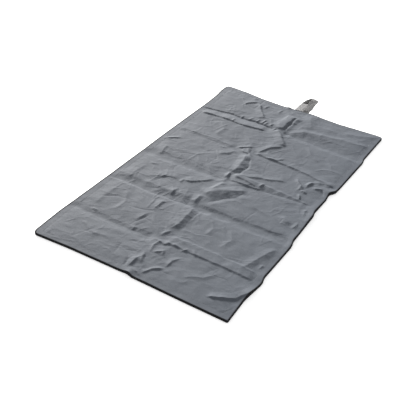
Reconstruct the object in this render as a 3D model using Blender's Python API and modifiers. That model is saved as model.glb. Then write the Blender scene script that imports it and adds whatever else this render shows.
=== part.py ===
# A far-infrared heating blanket, lying flat with its outer cover up.
# X runs across the blanket, Y along it towards the hanging loop, and Z is up, in metres.
# The blanket is six stiffened panels in a row. The bare cloth between two panels is the fold.

import math

import bmesh
import bpy
from mathutils import Matrix, Vector

# Overall size
MAT_WIDTH = 1.000
PANEL_COUNT = 6
PANEL_PITCH = 0.300  # from one fold line to the next
FOLD_GAP = 0.003  # bare cloth between two panels

# Thickness of each layer, from the floor up
LINING_THICKNESS = 0.0008
CARRIER_THICKNESS = 0.0006
HEATER_SPACE = 0.0040  # room for the cable and what is wired to it
FOIL_THICKNESS = 0.0004
FOAM_THICKNESS = 0.0045
COVER_THICKNESS = 0.0008
LAYER_GAP = 0.0003  # between any two pieces that touch

# Fold hinges: a valley folds about a line above the cover, a mountain about one below the lining
VALLEY_CLEARANCE = 0.0040
MOUNTAIN_CLEARANCE = 0.0020

# Bound edge round the blanket
BINDING_WIDTH = 0.036

# Heating cable
CABLE_DIAMETER = 0.0022
CABLE_BEND_RADIUS = 0.015
CABLE_BEND_STEPS = 3
CABLE_RUNS = 5  # an odd number, so that the cable leaves a panel on the other side
CABLE_SIDE_MARGIN = 0.030
CABLE_FOLD_MARGIN = 0.025
TERMINATION_DIAMETER = 0.0034
TERMINATION_LENGTH = 0.018

# Power inlet, in the left edge near the far corner
INLET_DEPTH = 0.030
INLET_LENGTH = 0.034
SOCKET_DEPTH = 0.018
SOCKET_LENGTH = 0.024
SOCKET_HEIGHT = 0.0064
PIN_DIAMETER = 0.0024
PIN_LENGTH = 0.012
PIN_SPACING = 0.014
LEAD_DIAMETER = 0.0030
SUPPLY_LEAD_LENGTH = 0.045
CUTOUT_SIZE = (0.016, 0.0064, 0.0034)
SENSOR_DIAMETER = 0.0032
SENSOR_LENGTH = 0.009
SENSOR_LEAD_OFFSET = 0.010  # from the supply lead, along the inlet
SENSOR_REACH = 0.060  # how far the sensor's lead runs in before it turns
SENSOR_DROP = 0.010  # and how far it runs towards the middle of the blanket

# Hanging loop
LOOP_REACH = 0.130  # past the far edge
STRAP_WIDTH = 0.042
STRAP_THICKNESS = 0.0016
STRAP_STEPS = 4  # between two stations
LOOP_CLEARANCE = 0.0020  # between the strap's ends and the far edge
PATCH_WIDTH = 0.036
PATCH_THICKNESS = 0.0012
PATCH_SPAN = (0.33, 0.44)  # where the patch starts and ends, as shares of the strap

# Heights
CARRIER_BOTTOM = LINING_THICKNESS + LAYER_GAP
HEATER_BOTTOM = CARRIER_BOTTOM + CARRIER_THICKNESS + LAYER_GAP
FOIL_BOTTOM = HEATER_BOTTOM + HEATER_SPACE + LAYER_GAP
FOAM_BOTTOM = FOIL_BOTTOM + FOIL_THICKNESS + LAYER_GAP
COVER_BOTTOM = FOAM_BOTTOM + FOAM_THICKNESS + LAYER_GAP
MAT_TOP = COVER_BOTTOM + COVER_THICKNESS
EDGE_BOTTOM = LINING_THICKNESS + LAYER_GAP
EDGE_TOP = COVER_BOTTOM - LAYER_GAP
EDGE_MIDDLE = (EDGE_BOTTOM + EDGE_TOP) / 2

# Places along and across the blanket. The origin is under the middle of the whole object, loop included.
MAT_LENGTH = PANEL_COUNT * PANEL_PITCH
MAT_NEAR = -(MAT_LENGTH + LOOP_REACH) / 2
MAT_FAR = MAT_NEAR + MAT_LENGTH
HALF_WIDTH = MAT_WIDTH / 2
INNER_HALF = HALF_WIDTH - BINDING_WIDTH - LAYER_GAP  # half the width of the inner layers
CABLE_HALF = INNER_HALF - CABLE_SIDE_MARGIN
CABLE_HEIGHT = HEATER_BOTTOM + CABLE_DIAMETER / 2
INLET_MIDDLE = MAT_FAR - BINDING_WIDTH - LAYER_GAP - INLET_LENGTH / 2
INLET_BACK = -HALF_WIDTH + INLET_DEPTH
LEAD_HEIGHT = HEATER_BOTTOM + LEAD_DIAMETER / 2

LINING_COLOUR = (0.012, 0.012, 0.014)
BINDING_COLOUR = (0.010, 0.010, 0.011)
COVER_COLOUR = (0.205, 0.220, 0.246)
FOAM_COLOUR = (0.72, 0.72, 0.68)
FOIL_COLOUR = (0.80, 0.81, 0.82)
CARRIER_COLOUR = (0.62, 0.60, 0.56)
CABLE_COLOUR = (0.50, 0.06, 0.04)
LEAD_COLOUR = (0.02, 0.02, 0.02)
WEBBING_COLOUR = (0.37, 0.365, 0.36)
PATCH_COLOUR = (0.008, 0.008, 0.008)
INLET_COLOUR = (0.015, 0.015, 0.016)
PIN_COLOUR = (0.75, 0.72, 0.65)
CUTOUT_COLOUR = (0.80, 0.80, 0.78)
SENSOR_COLOUR = (0.04, 0.05, 0.06)


def clear_scene():
    for obj in list(bpy.data.objects):
        bpy.data.objects.remove(obj, do_unlink=True)


def add_collection(name, shown=True):
    collection = bpy.data.collections.new(name)
    bpy.context.scene.collection.children.link(collection)
    collection.hide_render = not shown
    return collection


def add_material(name, colour, roughness, metallic=0.0):
    material = bpy.data.materials.new(name)
    material.use_nodes = True
    shader = material.node_tree.nodes["Principled BSDF"]
    shader.inputs["Base Color"].default_value = (*colour, 1.0)
    shader.inputs["Roughness"].default_value = roughness
    shader.inputs["Metallic"].default_value = metallic
    material.diffuse_color = (*colour, 1.0)
    return material


def world_place(empty):
    """Where an empty is, as the sum of the places along its parents."""
    place = Vector(empty.location)
    while empty.parent:
        empty = empty.parent
        place += empty.location
    return place


def add_empty(name, place, parent, collection):
    empty = bpy.data.objects.new(name, None)
    empty.empty_display_size = 0.05
    collection.objects.link(empty)
    empty.parent = parent
    empty.location = Vector(place) - (world_place(parent) if parent else Vector())
    return empty


def add_piece(name, data, place, material, parent, collection):
    piece = bpy.data.objects.new(name, data)
    collection.objects.link(piece)
    piece.parent = parent
    piece.location = Vector(place) - world_place(parent)
    if material:
        data.materials.append(material)
    return piece


def add_box(name, low, high, material, parent, collection):
    low, high = Vector(low), Vector(high)
    mesh = bpy.data.meshes.new(name)
    solid = bmesh.new()
    bmesh.ops.create_cube(solid, size=1.0)
    bmesh.ops.scale(solid, vec=high - low, verts=solid.verts)
    solid.to_mesh(mesh)
    solid.free()
    return add_piece(name, mesh, (low + high) / 2, material, parent, collection)


def add_rod(name, start, length, diameter, material, parent, collection, sides=16):
    """A round rod along +X that starts at a point."""
    mesh = bpy.data.meshes.new(name)
    solid = bmesh.new()
    bmesh.ops.create_cone(
        solid,
        cap_ends=True,
        segments=sides,
        radius1=diameter / 2,
        radius2=diameter / 2,
        depth=length,
        matrix=Matrix.Rotation(math.radians(90), 4, "Y"),
    )
    solid.to_mesh(mesh)
    solid.free()
    mesh.shade_smooth()
    middle = Vector(start) + Vector((length / 2, 0, 0))
    return add_piece(name, mesh, middle, material, parent, collection)


def add_tube(name, points, diameter, material, parent, collection):
    curve = bpy.data.curves.new(name, "CURVE")
    curve.dimensions = "3D"
    curve.bevel_depth = diameter / 2
    curve.bevel_resolution = 2
    curve.use_fill_caps = True
    spline = curve.splines.new("POLY")
    spline.points.add(len(points) - 1)
    for place, point in zip(points, spline.points):
        point.co = (*place, 1.0)
    spline.use_smooth = True
    return add_piece(name, curve, (0, 0, 0), material, parent, collection)


def rounded_route(corners, radius, steps):
    """The points of a route whose inner corners are turned with arcs."""
    route = [Vector(corners[0])]
    for before, corner, after in zip(corners, corners[1:], corners[2:]):
        corner = Vector(corner)
        into = (Vector(before) - corner).normalized()
        out = (Vector(after) - corner).normalized()
        centre = corner + (into + out) * radius
        for step in range(steps + 1):
            turn = math.radians(90) * step / steps
            route.append(centre - out * radius * math.cos(turn) - into * radius * math.sin(turn))
    route.append(Vector(corners[-1]))
    return route


def panel_ends(number):
    """Where a panel starts and ends along Y."""
    start = MAT_NEAR + (number - 1) * PANEL_PITCH
    end = start + PANEL_PITCH
    if number > 1:
        start += FOLD_GAP / 2
    if number < PANEL_COUNT:
        end -= FOLD_GAP / 2
    return start, end


def inner_ends(number):
    """Where a panel's inner layers start and end, inside the bound edge."""
    start, end = panel_ends(number)
    if number == 1:
        start += BINDING_WIDTH + LAYER_GAP
    if number == PANEL_COUNT:
        end -= BINDING_WIDTH + LAYER_GAP
    return start, end


def cable_entry_side(number):
    """+1 or -1: the side on which the cable enters a panel. It ends at the inlet, on the left."""
    return 1 if (PANEL_COUNT - number) % 2 == 0 else -1


def cable_corners(number):
    """The corners of the cable's route through one panel, from the near fold to the far one."""
    start, end = inner_ends(number)
    first = start + CABLE_FOLD_MARGIN
    last = INLET_MIDDLE if number == PANEL_COUNT else end - CABLE_FOLD_MARGIN
    side = cable_entry_side(number)
    corners = []
    if number > 1:
        corners.append((side * CABLE_HALF, start, CABLE_HEIGHT))
    for run in range(CABLE_RUNS):
        along = first + (last - first) * run / (CABLE_RUNS - 1)
        corners.append((side * CABLE_HALF, along, CABLE_HEIGHT))
        side = -side
        corners.append((side * CABLE_HALF, along, CABLE_HEIGHT))
    if number == 1:
        corners[0] = (corners[0][0] - side_step(corners[0][0]), *corners[0][1:])
    if number < PANEL_COUNT:
        corners.append((side * CABLE_HALF, end, CABLE_HEIGHT))
    else:
        corners[-1] = (cable_end_at_cutout(), *corners[-1][1:])
    return corners


def side_step(across):
    """The length of the end sleeve and its gap, signed like the side it is on."""
    return math.copysign(TERMINATION_LENGTH + LAYER_GAP, across)


def cutout_start():
    return INLET_BACK + SUPPLY_LEAD_LENGTH + 2 * LAYER_GAP


def cable_end_at_cutout():
    return cutout_start() + CUTOUT_SIZE[0] + LAYER_GAP


def loop_stations():
    """The strap's middle line: (across, past the far edge, height, lean in degrees) at each station."""
    base = STRAP_WIDTH / 2 + 0.001
    return [
        (-base, LOOP_CLEARANCE, EDGE_MIDDLE, 0),
        (0.001 - base, 0.030, 0.0040, 0),
        (0.010 - base, 0.070, 0.0056, 6),
        (0.001, 0.104, 0.0110, 14),
        (0.0125, LOOP_REACH - 0.0062, 0.0165, 20),
        (0.019, LOOP_REACH - STRAP_THICKNESS / 2, 0.0230, 22),
        (0.023, LOOP_REACH - 0.0062, 0.0295, 22),
        (0.024, 0.100, 0.0310, 19),
        (0.023, 0.065, 0.0255, 11),
        (base, 0.030, 0.0150, 3),
        (base, LOOP_CLEARANCE, EDGE_MIDDLE, 0),
    ]


def smooth_line(stations, steps):
    """More stations between the given ones, on a smooth curve through them."""
    rows = [Vector(s) for s in stations]
    rows = [2 * rows[0] - rows[1], *rows, 2 * rows[-1] - rows[-2]]
    line = []
    for a, b, c, d in zip(rows, rows[1:], rows[2:], rows[3:]):
        for step in range(steps):
            t = step / steps
            square, cube = 2 * a - 5 * b + 4 * c - d, 3 * b - a - 3 * c + d
            line.append((2 * b + (c - a) * t + square * t**2 + cube * t**3) / 2)
    line.append(rows[-2])
    return line


def add_strap(name, span, width, thickness, lift, material, parent, collection):
    """A band that follows the loop over a span of its length, lifted into the loop from the strap's middle."""
    line = smooth_line(loop_stations(), STRAP_STEPS)
    first, last = (round(share * (len(line) - 1)) for share in span)
    mesh = bpy.data.meshes.new(name)
    band = bmesh.new()
    bmesh.ops.create_grid(band, x_segments=last - first, y_segments=1, size=0.5)
    for vertex in band.verts:
        at = first + round((vertex.co.x + 0.5) * (last - first))
        here = line[at]
        ahead = line[min(at + 1, len(line) - 1)] - line[max(at - 1, 0)]
        lean = math.radians(here[3])
        sideways = Vector((math.cos(lean), 0, -math.sin(lean)))
        out = sideways.cross(Vector(ahead[:3])).normalized()
        middle = Vector((here[0], MAT_FAR + here[1], here[2]))
        vertex.co = middle + sideways * (-2 * vertex.co.y * width / 2) + out * lift
    band.to_mesh(mesh)
    band.free()
    mesh.shade_smooth()
    strap = add_piece(name, mesh, (0, 0, 0), material, parent, collection)
    thick = strap.modifiers.new("thickness", "SOLIDIFY")
    thick.thickness = thickness
    thick.offset = 0.0
    return strap


def cut(piece, cutter):
    modifier = piece.modifiers.new("opening", "BOOLEAN")
    modifier.operation = "DIFFERENCE"
    modifier.solver = "EXACT"
    modifier.object = cutter


def add_panel_frames(collection):
    """The empty that carries each panel, on the panel's own fold hinge."""
    frames = [add_empty("panel_1_frame", (0, MAT_NEAR, 0), None, collection)]
    for number in range(2, PANEL_COUNT + 1):
        valley = number % 2 == 0
        height = MAT_TOP + VALLEY_CLEARANCE if valley else -MOUNTAIN_CLEARANCE
        fold = MAT_NEAR + (number - 1) * PANEL_PITCH
        frames.append(add_empty(f"panel_{number}_frame", (0, fold, height), frames[-1], collection))
    return frames


def add_panel(number, frame, materials, collection):
    start, end = panel_ends(number)
    inner_start, inner_end = inner_ends(number)
    full_sheets = (
        ("lining", 0, LINING_THICKNESS),
        ("outer_cover", COVER_BOTTOM, MAT_TOP),
    )
    inner_sheets = (
        ("heater_carrier", CARRIER_BOTTOM, CARRIER_BOTTOM + CARRIER_THICKNESS),
        ("reflective_foil", FOIL_BOTTOM, FOIL_BOTTOM + FOIL_THICKNESS),
        ("insulation_foam", FOAM_BOTTOM, FOAM_BOTTOM + FOAM_THICKNESS),
    )
    for layer, bottom, top in full_sheets:
        low, high = (-HALF_WIDTH, start, bottom), (HALF_WIDTH, end, top)
        add_box(f"{layer}_{number}", low, high, materials[layer], frame, collection)
    for layer, bottom, top in inner_sheets:
        low, high = (-INNER_HALF, inner_start, bottom), (INNER_HALF, inner_end, top)
        add_box(f"{layer}_{number}", low, high, materials[layer], frame, collection)
    route = rounded_route(cable_corners(number), CABLE_BEND_RADIUS, CABLE_BEND_STEPS)
    add_tube(f"heating_cable_{number}", route, CABLE_DIAMETER, materials["cable"], frame, collection)
    for word, side in (("left", -1), ("right", 1)):
        edge_end = inner_end
        if number == PANEL_COUNT and side < 0:
            edge_end = INLET_MIDDLE - INLET_LENGTH / 2 - LAYER_GAP
        across = sorted((side * HALF_WIDTH, side * (HALF_WIDTH - BINDING_WIDTH)))
        low, high = (across[0], inner_start, EDGE_BOTTOM), (across[1], edge_end, EDGE_TOP)
        add_box(f"edge_binding_{word}_{number}", low, high, materials["binding"], frame, collection)


def add_end_binding(name, near, frame, materials, collection):
    low = (-HALF_WIDTH, near, EDGE_BOTTOM)
    high = (HALF_WIDTH, near + BINDING_WIDTH, EDGE_TOP)
    add_box(name, low, high, materials["binding"], frame, collection)


def add_termination(frame, materials, collection):
    """The sleeve that closes the cable's far end, at the foot of the blanket."""
    tip = cable_corners(1)[0]
    start = tip[0] + LAYER_GAP if tip[0] > 0 else tip[0] - LAYER_GAP - TERMINATION_LENGTH
    place = (start, tip[1], HEATER_BOTTOM + TERMINATION_DIAMETER / 2)
    add_rod(
        "cable_end_termination", place, TERMINATION_LENGTH, TERMINATION_DIAMETER, materials["lead"], frame, collection
    )


def add_inlet(frame, materials, collection, cutters):
    low = (-HALF_WIDTH, INLET_MIDDLE - INLET_LENGTH / 2, EDGE_BOTTOM)
    high = (INLET_BACK, INLET_MIDDLE + INLET_LENGTH / 2, EDGE_TOP)
    housing = add_box("power_inlet_housing", low, high, materials["inlet"], frame, collection)
    half_length, half_height = SOCKET_LENGTH / 2, SOCKET_HEIGHT / 2
    socket_low = (-HALF_WIDTH - SOCKET_DEPTH, INLET_MIDDLE - half_length, EDGE_MIDDLE - half_height)
    socket_high = (-HALF_WIDTH + SOCKET_DEPTH, INLET_MIDDLE + half_length, EDGE_MIDDLE + half_height)
    socket = add_box("socket_cutter", socket_low, socket_high, None, frame, cutters)
    socket.hide_render = True
    socket.display_type = "WIRE"
    cut(housing, socket)
    for word, side in (("live", -1), ("neutral", 1)):
        place = (
            -HALF_WIDTH + SOCKET_DEPTH - LAYER_GAP - PIN_LENGTH,
            INLET_MIDDLE + side * PIN_SPACING / 2,
            EDGE_MIDDLE,
        )
        add_rod(f"inlet_pin_{word}", place, PIN_LENGTH, PIN_DIAMETER, materials["pin"], frame, collection)


def add_wiring(frame, materials, collection):
    """The supply lead, the thermal cut-out in line with the cable, and the temperature sensor with its lead."""
    lead_start = INLET_BACK + LAYER_GAP
    lead_end = lead_start + SUPPLY_LEAD_LENGTH
    supply = [(lead_start, INLET_MIDDLE, LEAD_HEIGHT), (lead_end, INLET_MIDDLE, LEAD_HEIGHT)]
    add_tube("supply_lead", supply, LEAD_DIAMETER, materials["lead"], frame, collection)
    length, width, height = CUTOUT_SIZE
    low = (cutout_start(), INLET_MIDDLE - width / 2, HEATER_BOTTOM)
    high = (cutout_start() + length, INLET_MIDDLE + width / 2, HEATER_BOTTOM + height)
    add_box("thermal_cutout", low, high, materials["cutout"], frame, collection)
    along = INLET_MIDDLE - SENSOR_LEAD_OFFSET
    route = rounded_route(
        [
            (lead_start, along, LEAD_HEIGHT),
            (lead_start + SENSOR_REACH, along, LEAD_HEIGHT),
            (lead_start + SENSOR_REACH, along - SENSOR_DROP, LEAD_HEIGHT),
            (lead_start + 2 * SENSOR_REACH, along - SENSOR_DROP, LEAD_HEIGHT),
        ],
        LEAD_DIAMETER,
        CABLE_BEND_STEPS,
    )
    add_tube("sensor_lead", route, LEAD_DIAMETER, materials["lead"], frame, collection)
    bead = (lead_start + 2 * SENSOR_REACH + LAYER_GAP, along - SENSOR_DROP, HEATER_BOTTOM + SENSOR_DIAMETER / 2)
    add_rod("temperature_sensor", bead, SENSOR_LENGTH, SENSOR_DIAMETER, materials["sensor"], frame, collection)


def add_loop(far_frame, materials, collection):
    frame = add_empty("loop_frame", (0, MAT_FAR, EDGE_MIDDLE), far_frame, collection)
    add_strap("hanging_loop", (0, 1), STRAP_WIDTH, STRAP_THICKNESS, 0, materials["webbing"], frame, collection)
    lift = (STRAP_THICKNESS + PATCH_THICKNESS) / 2 + LAYER_GAP  # on the strap's inner face
    add_strap(
        "loop_fastener_patch", PATCH_SPAN, PATCH_WIDTH, PATCH_THICKNESS, lift, materials["patch"], frame, collection
    )


def main():
    clear_scene()
    blanket = add_collection("infrared_blanket")
    cutters = add_collection("cutters", shown=False)
    materials = {
        "lining": add_material("black_lining", LINING_COLOUR, 0.55),
        "binding": add_material("black_binding", BINDING_COLOUR, 0.7),
        "outer_cover": add_material("grey_cover", COVER_COLOUR, 0.62),
        "insulation_foam": add_material("foam", FOAM_COLOUR, 0.9),
        "reflective_foil": add_material("foil", FOIL_COLOUR, 0.25, 1.0),
        "heater_carrier": add_material("carrier_cloth", CARRIER_COLOUR, 0.9),
        "cable": add_material("heating_cable", CABLE_COLOUR, 0.45),
        "lead": add_material("lead_insulation", LEAD_COLOUR, 0.4),
        "webbing": add_material("webbing", WEBBING_COLOUR, 0.8),
        "patch": add_material("hook_patch", PATCH_COLOUR, 0.9),
        "inlet": add_material("inlet_plastic", INLET_COLOUR, 0.4),
        "pin": add_material("plated_pin", PIN_COLOUR, 0.3, 1.0),
        "cutout": add_material("cutout_ceramic", CUTOUT_COLOUR, 0.4),
        "sensor": add_material("sensor_resin", SENSOR_COLOUR, 0.35),
    }
    frames = add_panel_frames(blanket)
    for number, frame in enumerate(frames, 1):
        add_panel(number, frame, materials, blanket)
    add_end_binding("end_binding_near", MAT_NEAR, frames[0], materials, blanket)
    add_end_binding("end_binding_far", MAT_FAR - BINDING_WIDTH, frames[-1], materials, blanket)
    add_termination(frames[0], materials, blanket)
    add_inlet(frames[-1], materials, blanket, cutters)
    add_wiring(frames[-1], materials, blanket)
    add_loop(frames[-1], materials, blanket)


main()
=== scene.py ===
import math

import bmesh
import bpy
import numpy as np
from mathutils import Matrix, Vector


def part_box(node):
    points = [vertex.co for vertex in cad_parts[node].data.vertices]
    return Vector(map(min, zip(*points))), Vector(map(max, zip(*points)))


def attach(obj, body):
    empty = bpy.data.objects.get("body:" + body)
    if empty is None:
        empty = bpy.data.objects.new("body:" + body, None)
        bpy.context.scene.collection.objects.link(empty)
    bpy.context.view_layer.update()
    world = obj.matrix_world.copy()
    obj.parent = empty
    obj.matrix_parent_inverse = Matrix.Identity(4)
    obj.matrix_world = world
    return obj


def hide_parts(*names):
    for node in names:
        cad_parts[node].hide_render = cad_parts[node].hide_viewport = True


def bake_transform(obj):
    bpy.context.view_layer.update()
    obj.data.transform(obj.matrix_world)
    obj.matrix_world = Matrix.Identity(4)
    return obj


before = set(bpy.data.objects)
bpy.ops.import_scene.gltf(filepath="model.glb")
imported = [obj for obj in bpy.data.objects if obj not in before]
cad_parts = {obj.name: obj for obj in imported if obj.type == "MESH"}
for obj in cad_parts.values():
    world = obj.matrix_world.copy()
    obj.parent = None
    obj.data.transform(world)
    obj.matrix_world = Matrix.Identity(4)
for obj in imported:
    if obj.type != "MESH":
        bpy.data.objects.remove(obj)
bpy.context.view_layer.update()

# Places that everything is worked out from, in metres
panelCount = 6
mm = 0.001
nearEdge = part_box("outer_cover_1")[0][1]
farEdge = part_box("outer_cover_6")[1][1]
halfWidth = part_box("outer_cover_1")[1][0]
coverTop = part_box("outer_cover_1")[1][2]
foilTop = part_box("reflective_foil_1")[1][2]
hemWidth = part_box("end_binding_near")[1][1] - nearEdge
inletLow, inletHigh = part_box("power_inlet_housing")
matLength, matWidth = (farEdge - nearEdge) / mm, 2 * halfWidth / mm
panelLength = matLength / panelCount
folds = [panelLength * k for k in range(1, panelCount)]


def deselectAll():
    for obj in bpy.context.selected_objects:
        obj.select_set(False)


camera = dict(place=(1.480, -3.181, 2.279), turn=(54.42, -4.55, 30.05), lens=70.73, sensor=36.0)
studio = dict(
    floorColour=(0.92, 0.92, 0.92, 1),
    floorSize=16.0,
    tableGlow=0.40,  # the floor is a light table
    skyStrength=0.68,
    keyPlace=(-11.0, 9.6, 4.35),
    keySize=3.0,
    keyPower=8400.0,
    keyColour=(1.0, 0.99, 0.97),
    fillPlace=(2.6, -1.0, 3.2),
    fillSize=3.0,
    fillPower=8.0,
    fillColour=(0.97, 0.98, 1.0),
    mottleScale=1.5,
    mottleDim=0.985,
)


def makeCamera():
    deselectAll()
    bpy.ops.object.camera_add(location=camera["place"], rotation=[math.radians(a) for a in camera["turn"]])
    eye = bpy.context.object
    eye.data.lens, eye.data.sensor_width = camera["lens"], camera["sensor"]
    bpy.context.scene.camera = eye


def makeSoftLight(place, size, power, colour):
    deselectAll()
    facing = (-Vector(place)).to_track_quat("-Z", "Y").to_euler()
    bpy.ops.object.light_add(type="AREA", location=place, rotation=facing)
    lamp = bpy.context.object.data
    lamp.size, lamp.energy, lamp.color = size, power, colour


def makeStudio():
    bpy.context.scene.view_settings.view_transform = "Standard"
    world = bpy.data.worlds.new("studio")
    bpy.context.scene.world = world
    world.use_nodes = True
    sky = world.node_tree.nodes["Background"]
    sky.inputs["Color"].default_value = (1, 1, 1, 1)
    sky.inputs["Strength"].default_value = studio["skyStrength"]
    for lamp in ("key", "fill"):
        makeSoftLight(*(studio[lamp + value] for value in ("Place", "Size", "Power", "Colour")))
    deselectAll()
    bpy.ops.mesh.primitive_plane_add(size=studio["floorSize"])
    floor = bpy.context.object
    floor.name = "floor"
    paper = Finish(
        "paleFloor",
        Roughness=0.9,
        Specular_IOR_Level=0.1,
        Emission_Color=(1, 1, 1, 1),
        Emission_Strength=studio["tableGlow"],
    )
    mottle = paper.noise(paper.objectPlace(), studio["mottleScale"])
    dimmer = [c * studio["mottleDim"] for c in studio["floorColour"]]
    paper.feed(Base_Color=paper.mix(mottle, studio["floorColour"], dimmer))
    paper.putOn(floor)


class Wire:  # a socket that takes part in arithmetic
    def __init__(self, finish, socket):
        self.finish, self.socket = finish, socket

    def maths(self, operation, *values):
        return self.finish.node("ShaderNodeMath", {"operation": operation}, dict(enumerate(values)))

    def __add__(self, other):
        return self.maths("ADD", self, other)

    def __sub__(self, other):
        return self.maths("SUBTRACT", self, other)

    def __rsub__(self, other):
        return self.maths("SUBTRACT", other, self)

    def __mul__(self, other):
        return self.maths("MULTIPLY", self, other)

    __radd__, __rmul__ = __add__, __mul__

    def size(self):
        return self.maths("ABSOLUTE", self)

    def sine(self):
        return self.maths("SINE", self)


class Finish:  # one material, and the nodes that it is made of
    def __init__(self, name, **constants):
        self.material = bpy.data.materials.new(name)
        self.material.use_nodes = True
        self.tree = self.material.node_tree
        self.shader = self.tree.nodes["Principled BSDF"]
        for socket, value in constants.items():
            self.shader.inputs[socket.replace("_", " ")].default_value = value

    def node(self, kind, settings, sockets, out=0):
        made = self.tree.nodes.new(kind)
        for name, value in settings.items():
            setattr(made, name, value)
        for name, value in sockets.items():
            if isinstance(value, Wire):
                self.tree.links.new(value.socket, made.inputs[name])
            else:
                made.inputs[name].default_value = value
        return Wire(self, made.outputs[out])

    def feed(self, **wires):
        for name, wire in wires.items():
            self.tree.links.new(wire.socket, self.shader.inputs[name.replace("_", " ")])

    def objectPlace(self, stretch=(1, 1, 1), turn=0.0):
        place = self.node("ShaderNodeTexCoord", {}, {}, "Object")
        return self.node("ShaderNodeMapping", {}, {"Vector": place, "Scale": stretch, "Rotation": (0, 0, turn)})

    def clothPlace(self):  # metres across and along the cloth, which stay with it as it bends
        return self.node("ShaderNodeUVMap", {"uv_map": "cloth"}, {})

    def split(self, place):
        parts = self.node("ShaderNodeSeparateXYZ", {}, {"Vector": place})
        return parts, Wire(self, parts.socket.node.outputs[1])

    def noise(self, place, scale, detail=3.0, rough=0.5):
        values = {"Vector": place, "Scale": scale, "Detail": detail, "Roughness": rough}
        return self.node("ShaderNodeTexNoise", {}, values, "Fac")

    def weave(self, place, pitch):  # yarns over and under, a pitch apart
        across, along = self.split(place)
        return (across * (math.tau / pitch)).sine() * (along * (math.tau / pitch)).sine()

    def spread(self, value, low, high, start=0.0, end=1.0):
        return self.node("ShaderNodeMapRange", {}, {"Value": value, 1: low, 2: high, 3: start, 4: end})

    def mix(self, amount, first, second):
        return self.node("ShaderNodeMix", {"data_type": "RGBA"}, {"Factor": amount, "A": first, "B": second}, 2)

    def bump(self, height, depth, strength=1.0, under=None):
        values = {"Height": height, "Distance": depth, "Strength": strength}
        if under:
            values["Normal"] = under
        return self.node("ShaderNodeBump", {}, values)

    def putOn(self, piece):
        for slot in range(max(1, len(piece.data.materials))):
            if slot < len(piece.data.materials):
                piece.data.materials[slot] = self.material
            else:
                piece.data.materials.append(self.material)


coverCloth = dict(
    dark=(0.071, 0.080, 0.096, 1),
    light=(0.093, 0.103, 0.120, 1),
    # the next tint is painted warm light, laid on the cover's left side as though a warm lamp lit it from there
    paintedWarmLight=(0.090, 0.092, 0.100, 1),
    yarnTint=(0.17, 0.18, 0.20, 1),
    paintedWarmLightShare=0.4,
    yarnShare=0.12,
    roughness=0.78,
    gloss=0.12,
    yarn=0.0009,
    yarnDepth=0.00009,
    blotchScale=5.0,
    fineScale=160.0,
    crumpleScale=38.0,
    crumpleDepth=0.0009,
    ridgeScale=10.0,
    ridgeShare=6.0,
    streakStretch=(9, 26, 1),  # long crumples that run aslant across the cloth
    streakTurn=0.5,
)


def makeCoverCloth():
    look = coverCloth
    cloth = Finish("greyCoatedCloth", Specular_IOR_Level=look["gloss"])
    place, flat = cloth.objectPlace(), cloth.clothPlace()
    blotch = cloth.noise(place, look["blotchScale"], 4.0, 0.55)
    fine = cloth.noise(place, look["fineScale"], 2.0, 0.6)
    colour = cloth.mix(blotch * 0.75 + fine * 0.25, look["dark"], look["light"])
    # painted warm light: the cover is tinted warmer towards its left side, as if lit from the left
    side, _ = cloth.split(place)
    colour = cloth.mix(cloth.spread(side, halfWidth, -halfWidth, 0.0, look["paintedWarmLightShare"]), colour, look["paintedWarmLight"])
    yarns = cloth.weave(flat, look["yarn"])
    colour = cloth.mix(cloth.spread(yarns, 0.2, 1.0, 0.0, look["yarnShare"]), colour, look["yarnTint"])
    ridges = (cloth.noise(place, look["ridgeScale"], 1.5, 0.45) - 0.5).size()
    streaks = cloth.noise(cloth.objectPlace(look["streakStretch"], look["streakTurn"]), 1.0)
    crumples = cloth.noise(place, look["crumpleScale"], 3.0, 0.5) * 0.5 + streaks * 0.9
    crumples = crumples - ridges * look["ridgeShare"]
    creased = cloth.bump(crumples, look["crumpleDepth"])
    woven = cloth.bump(yarns, look["yarnDepth"], 0.6, creased)
    cloth.feed(Base_Color=colour, Roughness=look["roughness"] + (fine - 0.5) * 0.12, Normal=woven)
    return cloth


darkCloths = dict(
    lining=dict(colour=(0.012, 0.012, 0.014, 1), roughness=0.52, gloss=0.30, pitch=0.0011, depth=0.00012),
    tape=dict(colour=(0.006, 0.006, 0.007, 1), roughness=0.90, gloss=0.12, pitch=0.0018, depth=0.00025),
)


def makeDarkCloth(name):
    look = darkCloths[name]
    cloth = Finish("black" + name.capitalize(), Specular_IOR_Level=look["gloss"])
    dust = cloth.noise(cloth.objectPlace(), 12.0, 5.0, 0.6)
    yarns = cloth.weave(cloth.clothPlace(), look["pitch"])
    lighter = [c * 2.2 + 0.002 for c in look["colour"][:3]] + [1]
    colour = cloth.mix(dust * 0.6 + yarns * 0.15, look["colour"], lighter)
    worn = cloth.bump(dust, 0.0004)
    cloth.feed(
        Base_Color=colour,
        Roughness=look["roughness"] + (dust - 0.5) * 0.2,
        Normal=cloth.bump(yarns, look["depth"], 0.8, worn),
    )
    return cloth


webbing = dict(
    rib=0.0042,
    yarn=0.0017,
    # the first tint is painted shade down in the rib grooves, the second the grey of the rib tops
    groove=(0.110, 0.108, 0.110, 1),
    crown=(0.285, 0.281, 0.283, 1),
    depth=0.0006,
)


def makeWebbing():
    look = webbing
    strap = Finish("greyWebbing", Specular_IOR_Level=0.25)
    across, along = strap.split(strap.clothPlace())
    ribs = (across * (math.tau / look["rib"])).sine()
    yarns = (along * (math.tau / look["yarn"]) + ribs * 1.4).sine()
    fluff = strap.noise(strap.objectPlace(), 260.0, 3.0, 0.6)
    height = ribs * 0.7 + yarns * 0.3
    # painted shade: the strap's colour darkens where the ribs' bump is low, in the grooves
    colour = strap.mix(strap.spread(height + fluff, -0.3, 1.3), look["groove"], look["crown"])
    strap.feed(Base_Color=colour, Roughness=0.72 + fluff * 0.2, Normal=strap.bump(height, look["depth"]))
    return strap


# the darker tint between the hooks is painted shade, down between the stubs
hookTape = dict(pitch=0.0016, between=(0.002, 0.002, 0.002, 1), hook=(0.009, 0.009, 0.009, 1), depth=0.0006)


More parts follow.
